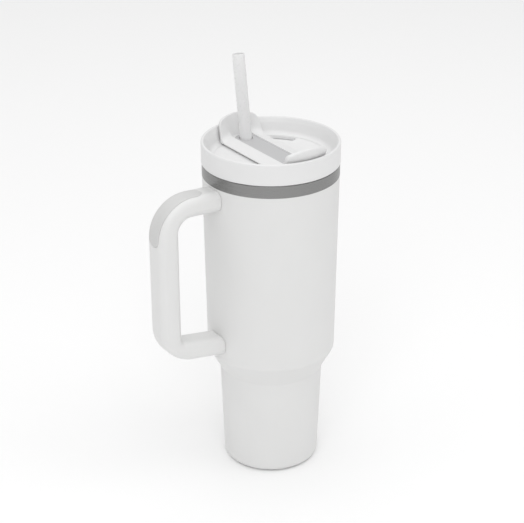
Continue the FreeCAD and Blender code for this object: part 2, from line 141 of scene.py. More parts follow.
def ring(outline, spokes=288, foot=(0.0, 0.0, 0.0), axis=(0.0, 0.0, 1.0)):
    """Grid of a closed (radius, height) outline carried round an axis: foot + height * axis
    + radius * (cos a * side + sin a * front)."""
    loop = np.concatenate([outline, outline[:1]])
    turn = np.linspace(0.0, 2.0 * np.pi, spokes + 1)
    axis = np.array(axis) / np.linalg.norm(axis)
    front = np.cross(axis, (1.0, 0.0, 0.0))
    front /= np.linalg.norm(front)
    side = np.cross(front, axis)
    radial = np.cos(turn)[:, None] * side + np.sin(turn)[:, None] * front
    return np.array(foot) + loop[:, None, 1:] * axis + loop[:, None, :1] * radial


def add_node(material, kind, inputs, **settings):
    """A shader node. Each input is either set to a value or joined to another node's socket."""
    made = material.node_tree.nodes.new(kind)
    for name, value in settings.items():
        setattr(made, name, value)
    for name, value in inputs.items():
        if isinstance(value, bpy.types.NodeSocket):
            material.node_tree.links.new(value, made.inputs[name])
        else:
            made.inputs[name].default_value = value
    return made


def bare_material(name, roughness, metallic=0.0, **sockets):
    """A material with its shader, and the place on the object as a socket to pattern from."""
    material = bpy.data.materials.new(name)
    material.use_nodes = True
    shader = material.node_tree.nodes["Principled BSDF"]
    shader.inputs["Roughness"].default_value = roughness
    shader.inputs["Metallic"].default_value = metallic
    for socket, value in sockets.items():
        shader.inputs[socket.replace("_", " ")].default_value = value
    place = add_node(material, "ShaderNodeTexCoord", {}).outputs["Object"]
    return material, shader, place


def join(material, socket, target):
    material.node_tree.links.new(socket, target)


def moulded(name, dark, light, roughness, grain_scale, grain_depth, cloud_scale=30.0, **sockets):
    """Satin surface: a slow cloud between two near colours, and a fine grain that lifts the
    surface and changes its gloss."""
    material, shader, place = bare_material(name, roughness, **sockets)
    cloud = add_node(material, "ShaderNodeTexNoise",
                     {"Vector": place, "Scale": cloud_scale, "Detail": 3.0})
    tint = add_node(material, "ShaderNodeMix", {"Factor": cloud.outputs["Fac"]},
                    data_type="RGBA")
    tint.inputs[6].default_value = (*dark, 1.0)
    tint.inputs[7].default_value = (*light, 1.0)
    grain = add_node(material, "ShaderNodeTexNoise",
                     {"Vector": place, "Scale": grain_scale, "Detail": 3.0, "Roughness": 0.6})
    gloss = add_node(material, "ShaderNodeMapRange",
                     {"Value": grain.outputs["Fac"], "From Min": 0.3, "From Max": 0.7,
                      "To Min": roughness - 0.05, "To Max": roughness + 0.05})
    lift = add_node(material, "ShaderNodeBump",
                    {"Height": grain.outputs["Fac"], "Strength": 0.6, "Distance": grain_depth})
    join(material, tint.outputs[2], shader.inputs["Base Color"])
    join(material, gloss.outputs["Result"], shader.inputs["Roughness"])
    join(material, lift.outputs["Normal"], shader.inputs["Normal"])
    return material


shell_low, shell_high = corners("outer_shell")
foot_inner_r = 29.0
stem_foot_r = 35.0
stem_top_r = 37.7
stem_top_z = 76.6
shoulder_r = 46.6
shoulder_z = 92.7
body_top_r = 48.5
shell_wall = 0.8
shell_path = rounded_path([(foot_inner_r, shell_low[2]),
                           (stem_foot_r, shell_low[2], 4.5),
                           (stem_top_r, stem_top_z, 2.5),
                           (shoulder_r, shoulder_z, 6.0),
                           (body_top_r, shell_high[2])], arc_cells=16)
painted_shell = skin("painted_shell", ring(walled(shell_path, shell_wall)))
powder_coat = moulded("powder_coat", (0.735, 0.735, 0.73), (0.765, 0.765, 0.76),
                      roughness=0.47, grain_scale=1900.0, grain_depth=0.00003)
painted_shell.data.materials.append(powder_coat)
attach(painted_shell, "cup")
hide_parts("outer_shell")


# Mouth band ------------------------------------------------------------------------------------
# The bare steel collar where shell and liner are welded together. The weld is turned flush and
# brushed round and round, so that fine lines run along it and light draws out across them.
def brushed(name, tone, roughness, anisotropic, line_scale, round_axis=True):
    """Steel with fine lines: noise that hardly changes round the axis and changes quickly along
    it. Gloss is drawn out across the lines, whose direction is the axis crossed with the
    surface normal."""
    material, shader, place = bare_material(name, roughness, metallic=1.0)
    stretch = add_node(material, "ShaderNodeMapping", {"Vector": place})
    stretch.inputs["Scale"].default_value = (8.0, 8.0, line_scale) if round_axis else (40.0,) * 3
    lines = add_node(material, "ShaderNodeTexNoise",
                     {"Vector": stretch.outputs["Vector"], "Scale": 1.0, "Detail": 4.0,
                      "Roughness": 0.7})
    tint = add_node(material, "ShaderNodeMix", {"Factor": lines.outputs["Fac"]},
                    data_type="RGBA")
    tint.inputs[6].default_value = (tone * 0.86, tone * 0.86, tone * 0.85, 1.0)
    tint.inputs[7].default_value = (tone * 1.14, tone * 1.14, tone * 1.13, 1.0)
    gloss = add_node(material, "ShaderNodeMapRange",
                     {"Value": lines.outputs["Fac"], "From Min": 0.3, "From Max": 0.7,
                      "To Min": roughness - 0.05, "To Max": roughness + 0.07})
    lift = add_node(material, "ShaderNodeBump",
                    {"Height": lines.outputs["Fac"], "Strength": 0.35, "Distance": 0.00001})
    join(material, tint.outputs[2], shader.inputs["Base Color"])
    join(material, gloss.outputs["Result"], shader.inputs["Roughness"])
    join(material, lift.outputs["Normal"], shader.inputs["Normal"])
    if anisotropic:
        facing = add_node(material, "ShaderNodeNewGeometry", {}).outputs["Normal"]
        along = add_node(material, "ShaderNodeVectorMath", {}, operation="CROSS_PRODUCT")
        along.inputs[0].default_value = (0.0, 0.0, 1.0)
        join(material, facing, along.inputs[1])
        join(material, along.outputs["Vector"], shader.inputs["Tangent"])
        shader.inputs["Anisotropic"].default_value = anisotropic
    return material


band_low, band_high = corners("mouth_band")
band_r = 48.6
band_inner_r = band_r - shell_wall
neck_r = 44.5
band_ring_h = 2.0
band_path = rounded_path([(band_inner_r, band_low[2]),
                          (band_r, band_low[2], 0.12),
                          (band_r, band_high[2], 0.5),
                          (neck_r, band_high[2], 0.3),
                          (neck_r, band_high[2] - band_ring_h),
                          (band_inner_r, band_high[2] - band_ring_h)], closed=True, arc_cells=6)
mouth_band = skin("bare_mouth_band", ring(band_path))
# The band's tone of 0.26 is partly the steel's own and partly a painted dark reflection. It is
# set low so that the band looks mid grey even though it faces a bright floor.
painted_dark_band_steel = brushed("brushed_band_steel", tone=0.26, roughness=0.27, anisotropic=0.75,
                     line_scale=5200.0)
mouth_band.data.materials.append(painted_dark_band_steel)
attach(mouth_band, "cup")
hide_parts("mouth_band")


# Inner liner -----------------------------------------------------------------------------------
# The steel cup that holds the drink, with the two-start thread pressed into its neck. It is
# electropolished, so it is smoother than the band, with faint spinning lines. It is brighter than
# the band, partly by its polish and partly because the band's tone holds a painted dark
# reflection.
def dress(node, material):
    """Gives a frame node the material in every slot."""
    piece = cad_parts[node]
    piece.data.materials.clear()
    piece.data.materials.append(material)


dress("inner_liner", brushed("polished_liner_steel", tone=0.42, roughness=0.2, anisotropic=0.0,
                             line_scale=900.0))


# Base disc, vacuum plug and getter -------------------------------------------------------------
# A thin disc is welded into the foot. Its middle hole is closed with a fused bead once the air
# is out, and a pressed metal pill beside it soaks up what gas is left.
dress("base_disc", brushed("satin_base_steel", tone=0.4, roughness=0.34, anisotropic=0.0,
                           line_scale=0.0, round_axis=False))
dress("vacuum_plug", moulded("fused_bead", (0.20, 0.20, 0.21), (0.30, 0.30, 0.31),
                             roughness=0.5, grain_scale=900.0, grain_depth=0.00008))
dress("getter", brushed("getter_pill", tone=0.35, roughness=0.45, anisotropic=0.0,
                        line_scale=0.0, round_axis=False))


# Base pad --------------------------------------------------------------------------------------
# A soft disc glued under the base so that the steel never touches the table. It is moulded
# silicone, matte, with three shallow rings in its face for grip.
pad_low, pad_high = corners("base_pad")
pad_r = 28.8
pad_groove_w = 1.2
pad_groove_h = 0.5
pad_points = [(0.0, pad_low[2])]
for groove_r in (9.0, 16.0, 23.0):
    pad_points += [(groove_r - pad_groove_w / 2.0, pad_low[2], 0.15),
                   (groove_r - pad_groove_w / 4.0, pad_low[2] + pad_groove_h, 0.15),
                   (groove_r + pad_groove_w / 4.0, pad_low[2] + pad_groove_h, 0.15),
                   (groove_r + pad_groove_w / 2.0, pad_low[2], 0.15)]
pad_points += [(pad_r, pad_low[2], 0.5), (pad_r, pad_high[2], 0.1), (0.0, pad_high[2])]
pad_path = rounded_path(pad_points, arc_cells=4, settle=0.2)
base_pad = skin("ringed_base_pad", ring(pad_path, spokes=192))
base_pad.data.materials.append(moulded("pad_silicone", (0.47, 0.47, 0.465), (0.52, 0.52, 0.515),
                                       roughness=0.7, grain_scale=1500.0, grain_depth=0.00006))
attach(base_pad, "cup")
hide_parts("base_pad")


# Handle brackets and their screws --------------------------------------------------------------
# Two stamped steel tongues are spot welded to the body. The handle's arms slide over them, and
# one steel screw from below holds each arm.
bracket_steel = brushed("stamped_bracket_steel", tone=0.4, roughness=0.38, anisotropic=0.0,
                        line_scale=0.0, round_axis=False)
screw_steel = brushed("plain_screw_steel", tone=0.35, roughness=0.3, anisotropic=0.0,
                      line_scale=0.0, round_axis=False)
for place_name in ("upper", "lower"):
    dress(place_name + "_bracket", bracket_steel)
    dress(place_name + "_screw", screw_steel)


# Handle shell ----------------------------------------------------------------------------------
# One injection-moulded loop in tough white plastic with a fine satin mould finish. Its edges are
# generously rounded, its two ends hug the body, and a pocket over the top bend takes the grip.
shell_top_z = shell_high[2]
handle_r = 96.5
grip_t = 16.0
handle_w = 20.0
edge_round = 5.5
flat_half = handle_w / 2.0 - edge_round
arm_start_r = 41.0
arm_clear_r = 50.2
root_round = 0.8
root_gap = 0.02
upper_arm = (219.6, 0.04, 7.4)      # height and rise at the gauge radius, and half thickness
lower_arm = (109.4, 0.15, 7.1)
arm_gauge_r = 70.0
outer_bend_r = 28.0
upper_inner_bend_r = 10.0
lower_inner_bend_r = 4.0
grip_half_w = 6.5
grip_from_r = 58.5
grip_to_z = 194.5
pocket_depth = 1.8
pocket_edge = 0.55


def smooth(share):
    """0 to 1 with a soft start and end."""
    share = np.clip(share, 0.0, 1.0)
    return share * share * (3.0 - 2.0 * share)


def arm_line(arm, reach, side):
    """Height of an arm's top (side 1) or underside (side -1) at a reach from the axis."""
    return arm[0] + arm[1] * (reach - arm_gauge_r) + side * arm[2]


def edge_line(reach, side, upper_bend, lower_bend, cells):
    """Stations along the handle's outer or inner edge: out along the upper arm, down the grip
    and back along the lower arm, with a set number of cells in each run and bend. Gives the
    stations, the normals to their left and the distance along the line."""
    spots = np.array([(arm_start_r, arm_line(upper_arm, arm_start_r, side)),
                      (arm_clear_r, arm_line(upper_arm, arm_clear_r, side)),
                      (reach, arm_line(upper_arm, reach, side)),
                      (reach, arm_line(lower_arm, reach, -side)),
                      (arm_clear_r, arm_line(lower_arm, arm_clear_r, -side)),
                      (arm_start_r, arm_line(lower_arm, arm_start_r, -side))])
    stations = []
    normals = []
    start = spots[1]
    for index, radius in ((2, upper_bend), (3, lower_bend), (4, 0.0)):
        back = spots[index - 1] - spots[index]
        back /= np.linalg.norm(back)
        ahead = spots[index + 1] - spots[index]
        ahead /= np.linalg.norm(ahead)
        half_angle = math.acos(np.clip(back @ ahead, -1.0, 1.0)) / 2.0
        end = spots[index] + back * radius / math.tan(half_angle)
        share = np.linspace(0.0, 1.0, cells[len(stations)] + 1)[:, None]
        stations.append(start + share * (end - start))
        normals.append(np.tile([back[1], -back[0]], (len(share), 1)))
        start = end
        if radius:
            first = np.array([back[1], -back[0]])
            last = np.array([-ahead[1], ahead[0]])
            turn = math.pi - 2.0 * half_angle
            share = np.linspace(0.0, 1.0, cells[len(stations)] + 2)[1:-1, None]
            normal = np.sin((1.0 - share) * turn) * first + np.sin(share * turn) * last
            normal /= math.sin(turn)
            centre = end - radius * first
            stations.append(centre + radius * normal)
            normals.append(normal)
            start = centre + radius * last
    stations = np.concatenate([spots[:1], *stations, spots[-1:]])
    normals = np.concatenate([normals[0][:1], *normals, normals[-1][-1:]])
    steps = np.linalg.norm(np.diff(stations, axis=0), axis=1)
    return stations, normals, np.concatenate([[0.0], np.cumsum(steps)])


def handle_point(outer, outer_normal, inner, inner_normal, around, depth):
    """Point of the handle's section, sunk by depth. around runs from 0 in the middle of the
    outer face over the corner (1 to 2), the side (2 to 3) and the other corner (3 to 4) to 5 in
    the middle of the inner face. A circle of the edge's radius rolls along both edge lines, and
    the surface is its centre plus what is left of its radius along the normal."""
    step = np.abs(around)
    angle = (np.clip(step - 1.0, 0.0, 1.0) + np.clip(step - 3.0, 0.0, 1.0)) * np.pi / 2.0
    share = np.clip(step - 2.0, 0.0, 1.0)[..., None]
    middle = (outer - edge_round * outer_normal) * (1.0 - share)
    middle = middle + (inner - edge_round * inner_normal) * share
    normal = np.where(share > 0.5, inner_normal, outer_normal)
    radius = edge_round - depth
    across = flat_half * np.interp(step, [0.0, 1.0, 4.0, 5.0], [0.0, 1.0, 1.0, 0.0])
    across = np.sign(around) * (across + radius * np.sin(angle))
    plane = middle + (radius * np.abs(np.cos(angle)))[..., None] * normal
    across = np.broadcast_to(across, plane.shape[:-1])
    return np.stack([-plane[..., 0], across, plane[..., 1]], axis=-1)


def pocket_distance(along, across):
    """Distance outside the grip's outline, which is a straight band with two round ends."""
    over = np.maximum(np.abs(along - grip_middle) - grip_spine, 0.0)
    return np.hypot(over, across) - grip_half_w


def body_reach(across, height):
    """How far the body's surface lies from the axis plane, at a place across and a height."""
    radius = np.interp(height, [shoulder_z, shell_top_z], [shoulder_r, body_top_r])
    return np.sqrt(radius ** 2 - across ** 2) + root_gap


def root_rows(inside, outside, around):
    """Rows that end an arm on the body: a face that follows the body, closed in its middle, and
    a small quarter round up to the arm's side. inside and outside are two stations' edges."""
    quarter = np.linspace(0.0, np.pi / 2.0, 6)
    rows = []
    for turn in quarter:
        sunk = root_round * (1.0 - math.sin(turn))
        off = root_round * (1.0 - math.cos(turn))
        near = handle_point(*inside, around, sunk)[0]
        far = handle_point(*outside, around, sunk)[0]
        reach = body_reach(near[:, 1], near[:, 2]) + off
        share = ((-reach - near[:, 0]) / (far[:, 0] - near[:, 0]))[:, None]
        rows.append(near + share * (far - near))
    centre = rows[0].mean(axis=0)
    cap = []
    for share in (0.0, 0.3, 0.6, 0.85):
        row = centre + share * (rows[0] - centre)
        row[:, 0] = -body_reach(row[:, 1], row[:, 2])
        cap.append(row)
    return np.stack(cap + rows)


cells = (40, 72, 96, 24, 20)
outer_edge, outer_normal, outer_way = edge_line(handle_r, 1.0, outer_bend_r, outer_bend_r,
                                                cells)
inner_edge, inner_normal, _ = edge_line(handle_r - grip_t, -1.0, upper_inner_bend_r,
                                        lower_inner_bend_r, cells)
inner_normal = -inner_normal
arm_end = cells[0] + 1
grip_from = np.interp(grip_from_r, outer_edge[:arm_end, 0], outer_way[:arm_end])
grip_to = np.interp(-grip_to_z, -outer_edge[arm_end:, 1], outer_way[arm_end:])
grip_middle = (grip_from + grip_to) / 2.0
grip_spine = (grip_to - grip_from) / 2.0 - grip_half_w
half_ring = np.concatenate([np.linspace(0.0, 1.0, 13)[:-1], np.linspace(1.0, 2.0, 25)[:-1],
                            np.linspace(2.0, 3.0, 4)[:-1], np.linspace(3.0, 4.0, 13)[:-1],
                            np.linspace(4.0, 5.0, 5)])
around = np.concatenate([-half_ring[::-1], half_ring[1:]])
corner_way = edge_round * np.pi / 2.0
across_way = np.interp(np.abs(around), [0.0, 1.0, 2.0, 2.01],
                       [0.0, flat_half, flat_half + corner_way, 99.0])
edges = [line[:, None] for line in (outer_edge, outer_normal, inner_edge, inner_normal)]
pocket = pocket_depth * smooth(-pocket_distance(outer_way[:, None], across_way) / pocket_edge)
loop = handle_point(*edges, around, pocket)
upper_root = root_rows([edge[:1] for edge in edges], [edge[1:2] for edge in edges], around)
lower_root = root_rows([edge[-1:] for edge in edges], [edge[-2:-1] for edge in edges], around)
handle_grid = np.concatenate([upper_root, loop[1:-1], lower_root[::-1]])
handle = skin("handle_loop", handle_grid, sharp=50.0)
handle_plastic = moulded("handle_plastic", (0.745, 0.745, 0.74), (0.765, 0.765, 0.76),
                         roughness=0.42, grain_scale=2600.0, grain_depth=0.00002)
handle.data.materials.append(handle_plastic)
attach(handle, "cup")
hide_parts("handle_shell")


# Comfort grip ----------------------------------------------------------------------------------
# A soft pad in light grey rubber, moulded over the pocket in the handle's top bend where the
# hand rests. It is matte and a touch proud, with a fine rounded seam line all round.
grip_gap = 0.1
grip_proud = 0.1
grip_edge_round = 0.4
grip_side = np.linspace(-1.0, 1.0, 90)
grip_turn = np.linspace(0.0, np.pi, 36)[1:-1]
grip_spot = np.concatenate([grip_side, np.full(34, 1.0), -grip_side, np.full(34, -1.0)])
grip_spot = grip_spot * grip_spine + grip_middle
lean_along = np.concatenate([0.0 * grip_side, np.sin(grip_turn), 0.0 * grip_side,
                             -np.sin(grip_turn)])
lean_across = np.concatenate([1.0 + 0.0 * grip_side, np.cos(grip_turn), -1.0 + 0.0 * grip_side,
                              -np.cos(grip_turn)])
grip_half = grip_half_w - grip_gap
quarter = np.linspace(0.0, np.pi / 2.0, 7)
spread = np.concatenate([np.linspace(0.0, grip_half - grip_edge_round, 12)[:-1],
                         grip_half - grip_edge_round * (1.0 - np.sin(quarter)),
                         [grip_half - 0.15, grip_half - 0.5, grip_half * 0.6, grip_half * 0.3,
                          0.0]])
sunk = np.concatenate([np.full(11, -grip_proud),
                       grip_edge_round * (1.0 - np.cos(quarter)) - grip_proud,
                       [0.6, 1.68, 1.75, 1.75, 1.75]])
way = grip_spot + spread[:, None] * lean_along
over = spread[:, None] * lean_across
way = np.concatenate([way, way[:, :1]], axis=1)
over = np.concatenate([over, over[:, :1]], axis=1)
grip_edge = np.stack([np.interp(way, outer_way, outer_edge[:, k]) for k in (0, 1)], axis=-1)
grip_normal = np.stack([np.interp(way, outer_way, outer_normal[:, k]) for k in (0, 1)], axis=-1)
grip_normal /= np.linalg.norm(grip_normal, axis=-1, keepdims=True)
grip_around = np.interp(over, [-flat_half - corner_way, -flat_half, flat_half,
                               flat_half + corner_way], [-2.0, -1.0, 1.0, 2.0])
grip_grid = handle_point(grip_edge, grip_normal, grip_edge, grip_normal, grip_around,
                         sunk[:, None])
comfort_grip = skin("comfort_grip_pad", grip_grid, sharp=60.0)
grip_rubber = moulded("grip_rubber", (0.605, 0.605, 0.60), (0.655, 0.655, 0.65),
                      roughness=0.62, grain_scale=1400.0, grain_depth=0.00004, cloud_scale=90.0)
comfort_grip.data.materials.append(grip_rubber)
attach(comfort_grip, "cup")
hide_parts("comfort_grip")


# Screw caps ------------------------------------------------------------------------------------
# Small snap-in plastic buttons that cover the two handle screws. They sit in the undersides of
# the arms, slightly domed, so that a fine step shows round them.
cap_r = 2.7
cap_dome = 0.3
cap_skirt = 1.2
cap_reach = 56.0
cap_outline = rounded_path([(0.0, -cap_skirt), (cap_r, -cap_skirt), (cap_r, 0.6 * cap_dome, 0.2),
                            (0.5 * cap_r, cap_dome, 2.0), (0.0, cap_dome)], arc_cells=6)
for cap_name, arm in (("upper", upper_arm), ("lower", lower_arm)):
    seat = (-cap_reach, 0.0, arm_line(arm, cap_reach, -1.0))
    cap = skin(cap_name + "_screw_button",
               ring(cap_outline, spokes=48, foot=seat, axis=(-arm[1], 0.0, -1.0)))
    cap.data.materials.append(handle_plastic)
    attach(cap, "cup")
    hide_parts(cap_name + "_cap")


# Lid gasket ------------------------------------------------------------------------------------
# A ring of soft translucent silicone in the plug's groove. It is squeezed against the neck when
# the lid is tight and it lifts out for washing.
silicone = moulded("seal_silicone", (0.58, 0.58, 0.57), (0.63, 0.63, 0.62), roughness=0.45,
                   grain_scale=1100.0, grain_depth=0.00002, Subsurface_Weight=0.3,
                   Subsurface_Scale=0.002)
dress("lid_gasket", silicone)


# Lid rim ---------------------------------------------------------------------------------------
# The lid's visible ring, injection moulded in white plastic with a satin finish. The wall stands
# straight outside, turns over a thin round lip and runs down inside as one smooth bowl.
rim_low, rim_high = corners("lid_rim")
disc_low, disc_high = corners("sealing_disc")
lid_r = 49.0
rim_w = 2.0
rim_outer_round = 1.2
rim_inner_round = 1.25
bowl_knee_in = 3.6                  # where the wall turns steeper, in from the outside
bowl_knee_drop = 3.9                # and below the top
bowl_knee_round = 8.0
bowl_foot_r = 43.2
bowl_round = 4.0
bowl_lip_r = 40.2
bowl_lip_z = disc_high[2] + 0.2
disc_r = 43.8
skirt_r = 46.9
under_lip_z = disc_high[2] + 0.08
seat_z = 238.0
rim_path = rounded_path([(lid_r, rim_low[2], 0.5),
                         (lid_r, rim_high[2], rim_outer_round),
                         (lid_r - rim_w, rim_high[2], rim_inner_round),
                         (lid_r - bowl_knee_in, rim_high[2] - bowl_knee_drop, bowl_knee_round),
                         (bowl_foot_r, bowl_lip_z + 0.1, bowl_round),
                         (bowl_lip_r, bowl_lip_z - 0.02),
                         (bowl_lip_r, under_lip_z),
                         (disc_r + 0.4, under_lip_z),
                         (disc_r + 0.4, seat_z),
                         (skirt_r, seat_z),
                         (skirt_r, rim_low[2])], closed=True, arc_cells=14)
lid_rim = skin("lid_bowl_rim", ring(rim_path))
lid_plastic = moulded("lid_plastic", (0.765, 0.765, 0.765), (0.785, 0.785, 0.785),
                      roughness=0.38, grain_scale=2600.0, grain_depth=0.000015)
lid_rim.data.materials.append(lid_plastic)
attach(lid_rim, "lid")
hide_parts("lid_rim")


# Lid plug and cover seal -----------------------------------------------------------------------
# The threaded plug is welded into the rim from below and carries the fixed floor with its long
# curved window. A silicone frame round the window wipes the turning cover above it.
dress("lid_plug", lid_plastic)
dress("cover_seal", silicone)


# Sealing disc ----------------------------------------------------------------------------------
# The turning floor of the lid, moulded in the same white plastic. It has a hole for the straw
# and, beside the bar, a slot to drink from with a low raised lip round it.
slot_r = 34.8
slot_half = 3.2
slot_from = math.radians(31.0)
slot_to = math.radians(52.0)
slot_lip_h = 0.45
slot_lip_w = 1.3
hub_r = 5.0
hub_foot_z = disc_low[2]
disc_under_z = 238.4
disc_top_z = disc_high[2]


def slot_distance(radius, turn):
    """Distance outside the slot's outline, which is an arc about the axis with round ends."""
    near = np.clip(turn, slot_from, slot_to)
    return np.hypot(radius * np.cos(turn) - slot_r * np.cos(near),
                    radius * np.sin(turn) - slot_r * np.sin(near)) - slot_half


def cut_out(piece, cutter):
    """Takes the cutter's solid out of the piece."""
    tool = piece.modifiers.new("cut", "BOOLEAN")
    tool.operation = "DIFFERENCE"
    tool.solver = "EXACT"
    tool.object = cutter
    ready = piece.evaluated_get(bpy.context.evaluated_depsgraph_get())
    cut = bpy.data.meshes.new_from_object(ready)
    piece.modifiers.clear()
    piece.data = cut
    bpy.data.objects.remove(cutter)
    cut.shade_smooth()
    cut.set_sharp_from_angle(angle=math.radians(40.0))


disc_radius = np.concatenate([np.linspace(0.0, 26.0, 12), np.linspace(26.5, 42.5, 44),
                              [43.2, disc_r - 0.15, disc_r]])
disc_turn = np.linspace(0.0, 2.0 * np.pi, 361)
lip = (slot_distance(disc_radius[:, None], disc_turn) - 0.2) / slot_lip_w
disc_height = disc_top_z + slot_lip_h * (1.0 - smooth(lip))
disc_height[-1] = disc_top_z - 0.15
under_radius = np.array([disc_r, disc_r - 0.3, hub_r + 0.4, hub_r, hub_r, hub_r - 0.3, 0.0])
under_height = np.array([disc_under_z + 0.3, disc_under_z, disc_under_z, disc_under_z - 0.4,
                         hub_foot_z + 0.3, hub_foot_z, hub_foot_z])
disc_radius = np.concatenate([disc_radius, under_radius])[:, None]
under_height = np.broadcast_to(under_height[:, None], (7, 361))
disc_height = np.concatenate([disc_height, under_height])
disc_grid = np.stack([disc_radius * np.cos(disc_turn), disc_radius * np.sin(disc_turn),
                      disc_height], axis=-1)
sealing_disc = skin("turning_disc", disc_grid)
slot_turn = np.concatenate([np.linspace(0.0, 1.0, 25), np.full(24, 1.0),
                            np.linspace(1.0, 0.0, 25), np.full(24, 0.0)])
slot_turn = slot_from + (slot_to - slot_from) * slot_turn
end_turn = np.linspace(0.0, np.pi, 26)[1:-1]
slot_lean = np.concatenate([np.zeros(25), end_turn, np.full(25, np.pi), np.pi + end_turn])
slot_heading = slot_turn + slot_lean
slot_rows = []
for slot_spread, slot_z in ((0.0, disc_under_z - 1.0), (slot_half, disc_under_z - 1.0),
                            (slot_half, disc_top_z + 2.0), (0.0, disc_top_z + 2.0)):
    row = np.stack([slot_r * np.cos(slot_turn) + slot_spread * np.cos(slot_heading),
                    slot_r * np.sin(slot_turn) + slot_spread * np.sin(slot_heading),
                    np.full(len(slot_turn), slot_z)], axis=-1)
    slot_rows.append(np.concatenate([row, row[:1]]))
cut_out(sealing_disc, skin("slot_cutter", np.stack(slot_rows)))
straw_lean = math.radians(8.6)
straw_axis = np.array([0.0, math.sin(straw_lean), math.cos(straw_lean)])
straw_r = 4.4
straw_base_y = 31.5
channel_z = 243.4
straw_hole_r = straw_r + 0.5
hole_reach = 20.0                   # of the straw hole's cutter, each way
hole_from = np.array([0.0, straw_base_y, channel_z]) - straw_axis * hole_reach
hole_outline = np.array([(0.0, 0.0), (straw_hole_r, 0.0), (straw_hole_r, 2.0 * hole_reach),
                         (0.0, 2.0 * hole_reach)])
cut_out(sealing_disc, skin("straw_hole_cutter",
                           ring(hole_outline, spokes=64, foot=hole_from, axis=straw_axis)))
pivot_bore_r = 1.4
pivot_reach = 9.0
pivot_outline = np.array([(0.0, -pivot_reach), (pivot_bore_r, -pivot_reach),
                          (pivot_bore_r, pivot_reach), (0.0, pivot_reach)])
cut_out(sealing_disc, skin("pivot_hole_cutter",
                           ring(pivot_outline, spokes=32, foot=(0.0, 0.0, disc_top_z))))
sealing_disc.data.materials.clear()
sealing_disc.data.materials.append(lid_plastic)
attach(sealing_disc, "cover")
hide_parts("sealing_disc")


# Turning bar -----------------------------------------------------------------------------------
# The bar that turns the cover, snapped onto the disc. It is white plastic with a flat channel
# between two sloping strips, and both ends turn up into arched finger tabs. A smooth strip lies
# in the channel's floor, coloured light grey, darker than the bar. The bar shown has no pocket,
# so the strip overlaps it.
bar_half_w = 17.35
bar_edge_z = disc_top_z + 1.1
bar_web_half_w = 14.2
bar_web_half_l = 37.0
bar_edge_round = 0.45
channel_half_w = 7.9
crest_z = disc_top_z + 4.4
side_slope = 0.243
tab_foot_r = 41.4
tab_lean = 0.37
tab_t = 2.8
tab_bend = 6.0
groove_r = 8.5
crest_round = 0.35
insert_bed = 0.04                   # channel floor below the strip's top face
back_tab = (258.2, 2.4, 3.0, 1.65)  # top of the arch, its rise, corner round and side taper
front_tab = (260.6, 4.0, 1.5, 1.15)


def tab_face(x, height):
    """The tabs' outer face: a cone about the axis that leans out as it rises."""
    radius = tab_foot_r + tab_lean * (height - disc_top_z)
    return math.sqrt(radius * radius - x * x)


def tab_tip(tab, x):
    """Height of a tab's arched top edge: a parabola with a quarter round at each end."""
    top, rise, round_r, _ = tab
    past = max(abs(x) - (bar_half_w - round_r), 0.0)
    return top - rise * (x / bar_half_w) ** 2 - round_r + math.sqrt(round_r ** 2 - past ** 2)


def bar_outline(x):
    """Closed outline of the bar and its two tabs in the plane at x."""
    past = max(abs(x) - (bar_half_w - bar_edge_round), 0.0)
    inset = bar_edge_round - math.sqrt(bar_edge_round ** 2 - past ** 2)
    out = abs(x) - channel_half_w
    turned = max(crest_round - max(out, 0.0), 0.0)
    top = channel_z - insert_bed if out < 0.0 else crest_z - crest_round
    if out >= 0.0:
        top += math.sqrt(crest_round ** 2 - turned ** 2)
    top -= side_slope * max(out - crest_round, 0.0) + inset
    foot = bar_edge_z + inset
    web = foot if abs(x) > bar_web_half_w else disc_top_z + 0.02
    wall = tab_t - 2.0 * inset
    tip_round = 0.42 * wall
    foot_y = tab_face(x, foot) - inset
    back_z = tab_tip(back_tab, x) - inset
    front_z = tab_tip(front_tab, x) - inset
    back_y = tab_face(x, back_z) - inset
    front_y = tab_face(x, front_z) - inset
    bend_y = tab_face(x, top) - inset - wall
    groove = math.sqrt(max(groove_r ** 2 - x * x, 0.0))
    scoop = float(smooth((abs(x) - 5.0) / 3.5))
    back_bend_y = max(bend_y, straw_base_y + groove)
    back_bend = 1.2 + scoop * (tab_bend - 1.2)
    thin = 1.0 * (1.0 - float(smooth(abs(x) / 7.0)))
    return rounded_path([(-bar_web_half_l, foot), (-bar_web_half_l, web),
                         (bar_web_half_l, web), (bar_web_half_l, foot),
                         (foot_y, foot, 0.8 - inset),
                         (back_y, back_z, tip_round),
                         (back_y - wall + thin, back_z, tip_round * (1.0 - 0.4 * thin)),
                         (back_bend_y, top, back_bend),
                         (-bend_y, top, tab_bend),
                         (wall - front_y, front_z, tip_round),
                         (-front_y, front_z, tip_round),
                         (-foot_y, foot, 0.8 - inset)], closed=True, arc_cells=8)


sweep = np.linspace(0.0, np.pi / 2.0, 12)
crest_x = channel_half_w + crest_round * (1.0 - np.cos(sweep[::2]))
half_x = np.concatenate([np.linspace(0.0, 7.0, 15), [7.5, channel_half_w - 0.02], crest_x,
                         [8.4, 8.7], np.linspace(9.2, 13.3, 7),
                         [13.8, bar_web_half_w - 0.01, bar_web_half_w + 0.01],
                         bar_half_w - 3.0 * (1.0 - np.sin(sweep))])
bar_x = np.concatenate([-half_x[::-1], half_x[1:]])
bar_grid = np.stack([np.concatenate([outline, outline[:1]])
                     for outline in map(bar_outline, bar_x)])
in_front = bar_grid[..., 0] < 0.0
corner_z = np.where(in_front, front_tab[0] - front_tab[1], back_tab[0] - back_tab[1])
taper = np.where(in_front, front_tab[3], back_tab[3]) / bar_half_w
narrow = 1.0 - taper * np.clip((bar_grid[..., 1] - crest_z) / (corner_z - crest_z), 0.0, 1.2)
bar_grid = np.stack([bar_x[:, None] * narrow, bar_grid[..., 0], bar_grid[..., 1]], axis=-1)
turn_bar = skin("turning_bar", bar_grid)
cut_out(turn_bar, skin("bar_hole_cutter",
                       ring(hole_outline, spokes=64, foot=hole_from, axis=straw_axis)))
